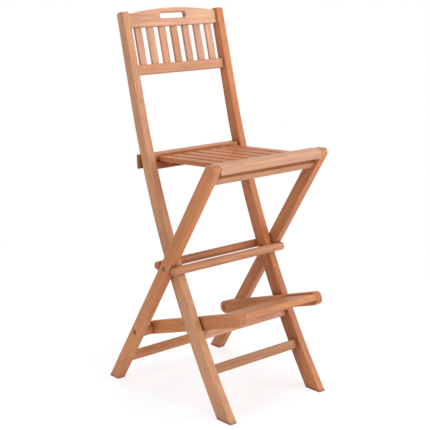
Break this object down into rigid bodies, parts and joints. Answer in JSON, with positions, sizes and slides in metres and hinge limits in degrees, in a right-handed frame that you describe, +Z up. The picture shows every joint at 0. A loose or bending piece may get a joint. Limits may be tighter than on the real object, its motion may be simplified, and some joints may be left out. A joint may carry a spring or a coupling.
{
  "type": "folding bar stool with backrest",
  "caption": "A tall slatted wooden folding stool with a curved back frame, a crossing rear leg frame, a slatted seat and a board footrest that fold with it",
  "frame": {"origin": "On the floor, under the middle of the opened stool: halfway across its width and halfway between its foremost and rearmost points", "axes": "+Z up, the seated person faces -Y, +X to the right when looking along +Y"},
  "size_m": [0.46, 0.5593, 1.1701],
  "materials": {
    "oiled_hardwood": "oiled",
    "plated_steel": "plated"
  },
  "bodies": {
    "back_frame": {"stile_left": "oiled_hardwood", "stile_right": "oiled_hardwood", "back_top_rail": "oiled_hardwood", "back_low_rail": "oiled_hardwood", "back_slat_1": "oiled_hardwood", "back_slat_2": "oiled_hardwood", "back_slat_3": "oiled_hardwood", "back_slat_4": "oiled_hardwood", "back_slat_5": "oiled_hardwood", "back_slat_6": "oiled_hardwood", "back_slat_7": "oiled_hardwood", "seat_ledge_rail": "oiled_hardwood", "footrest_ledge_rail": "oiled_hardwood", "front_stretcher": "oiled_hardwood", "stop_bar_front": "oiled_hardwood", "stop_bar_rear": "oiled_hardwood"},
    "rear_legs": {"rear_leg_left": "oiled_hardwood", "rear_leg_right": "oiled_hardwood", "seat_apron": "oiled_hardwood", "rear_stretcher": "oiled_hardwood", "footrest_spacers": "oiled_hardwood", "cross_bolts": "plated_steel", "footrest_bolts": "plated_steel", "seat_pins": "plated_steel", "cross_washers": "plated_steel"},
    "seat": {"seat_nose_board": "oiled_hardwood", "seat_slat_1": "oiled_hardwood", "seat_slat_2": "oiled_hardwood", "seat_slat_3": "oiled_hardwood", "seat_slat_4": "oiled_hardwood", "seat_slat_5": "oiled_hardwood", "seat_slat_6": "oiled_hardwood", "seat_slat_7": "oiled_hardwood", "seat_rear_rail": "oiled_hardwood", "seat_hook_board": "oiled_hardwood"},
    "footrest": {"footrest_arm_left": "oiled_hardwood", "footrest_arm_right": "oiled_hardwood", "footrest_tread": "oiled_hardwood"}
  },
  "joints": [
    {"name": "leg_fold", "type": "hinge", "parent": "back_frame", "child": "rear_legs", "pos_m": [0, -0.00597, 0.42], "axis": [-1, 0, 0], "range_deg": [0, 43.5]},
    {"name": "seat_fold", "type": "hinge", "parent": "rear_legs", "child": "seat", "pos_m": [0, -0.20798, 0.7427], "axis": [1, 0, 0], "range_deg": [0, 95.7]},
    {"name": "footrest_fold", "type": "hinge", "parent": "rear_legs", "child": "footrest", "pos_m": [0, 0.14208, 0.1835], "axis": [-1, 0, 0], "range_deg": [0, 23.93]}
  ],
  "couplings": [
    {"joint": "seat_fold", "follows": "leg_fold", "ratio": 2.2},
    {"joint": "footrest_fold", "follows": "leg_fold", "ratio": 0.55}
  ]
}
